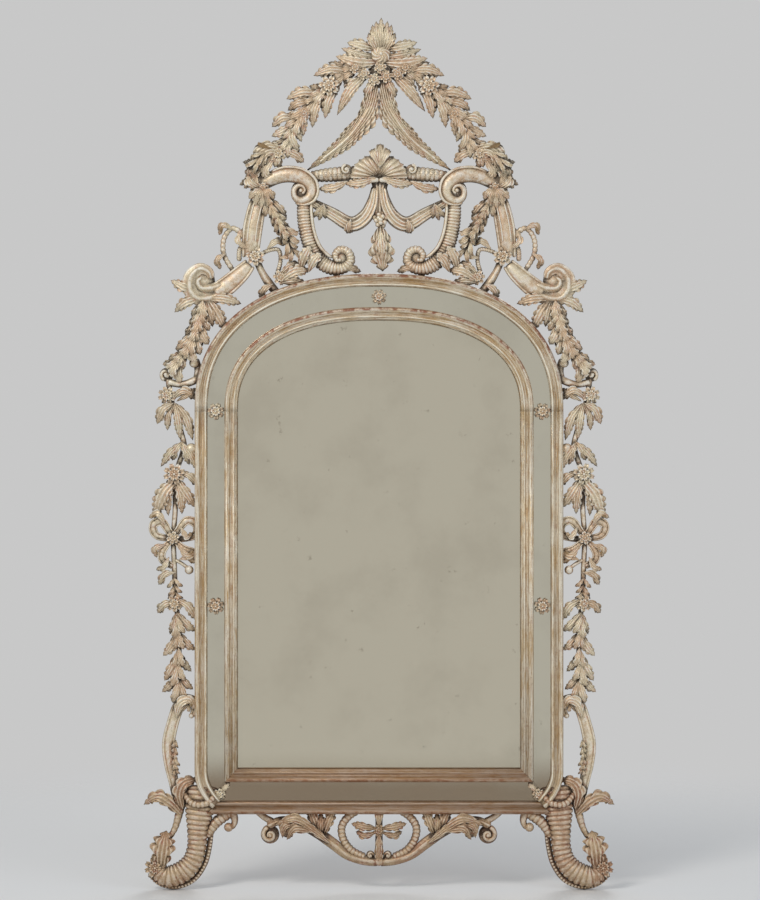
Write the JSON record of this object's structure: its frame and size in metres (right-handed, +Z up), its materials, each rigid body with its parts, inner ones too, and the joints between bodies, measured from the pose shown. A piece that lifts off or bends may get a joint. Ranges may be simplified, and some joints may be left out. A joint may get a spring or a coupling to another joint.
{
  "type": "trumeau mirror",
  "caption": "Tall arched wall mirror with a border of glass strips, gilt mouldings and openwork carving at the crest, sides, feet and apron.",
  "frame": {"origin": "middle of the bottom rail's rear face, which lies against the wall", "axes": "+X to the viewer's right, +Y into the wall, +Z up; the mirror faces -Y"},
  "size_m": [1.034, 0.0605, 1.9186],
  "materials": {
    "pine_frame": "bare aged pine",
    "backboards": "bare aged boards",
    "iron": "dark forged iron",
    "mirror_glass": "aged silvering",
    "border_glass": "aged silvering",
    "gilt_moulding": "worn gilding",
    "carved_gilding": "worn silver-gilding",
    "base_gilding": "worn gilding over red bole"
  },
  "bodies": {
    "frame": {"apron": "base_gilding", "back_frame_bottom_rail": "pine_frame", "back_frame_head_left": "pine_frame", "back_frame_head_right": "pine_frame", "back_frame_stile_left": "pine_frame", "back_frame_stile_right": "pine_frame", "backboard_centre": "backboards", "backboard_left": "backboards", "backboard_right": "backboards", "border_plate_arch_left": "border_glass", "border_plate_arch_right": "border_glass", "border_plate_bottom": "border_glass", "border_plate_left_lower": "border_glass", "border_plate_left_upper": "border_glass", "border_plate_right_lower": "border_glass", "border_plate_right_upper": "border_glass", "corner_clasp_left": "carved_gilding", "corner_clasp_right": "carved_gilding", "crest_drapery": "carved_gilding", "crest_finial": "carved_gilding", "crest_garland_left": "carved_gilding", "crest_garland_right": "carved_gilding", "crest_palm_left": "carved_gilding", "crest_palm_right": "carved_gilding", "crest_scroll_left": "carved_gilding", "crest_scroll_right": "carved_gilding", "crest_shell": "carved_gilding", "crest_strap_left": "iron", "crest_strap_right": "iron", "flower_cluster_crown": "carved_gilding", "flower_cluster_lower_left": "carved_gilding", "flower_cluster_lower_right": "carved_gilding", "flower_cluster_spring_left": "carved_gilding", "flower_cluster_spring_right": "carved_gilding", "foot_left": "base_gilding", "foot_right": "base_gilding", "hanger_strap_left": "iron", "hanger_strap_right": "iron", "inner_moulding_arch": "gilt_moulding", "inner_moulding_bottom": "gilt_moulding", "inner_moulding_left": "gilt_moulding", "inner_moulding_right": "gilt_moulding", "main_mirror_plate": "mirror_glass", "outer_moulding_arch": "gilt_moulding", "outer_moulding_bottom": "gilt_moulding", "outer_moulding_left": "gilt_moulding", "outer_moulding_right": "gilt_moulding", "ribbed_stem_left": "carved_gilding", "ribbed_stem_right": "carved_gilding", "ribbon_bow_left": "carved_gilding", "ribbon_bow_right": "carved_gilding", "shoulder_scroll_left": "carved_gilding", "shoulder_scroll_right": "carved_gilding", "side_garland_left": "carved_gilding", "side_garland_right": "carved_gilding", "side_horn_left": "carved_gilding", "side_horn_right": "carved_gilding"},
    "ring_left": {"hanger_ring_left": "iron"},
    "ring_right": {"hanger_ring_right": "iron"}
  },
  "joints": [
    {"name": "left_ring_swing", "type": "hinge", "parent": "frame", "child": "ring_left", "pos_m": [-0.365, 0.005, 0.76], "axis": [1, 0, 0], "range_deg": [0, 180]},
    {"name": "right_ring_swing", "type": "hinge", "parent": "frame", "child": "ring_right", "pos_m": [0.365, 0.005, 0.76], "axis": [1, 0, 0], "range_deg": [0, 180]}
  ]
}
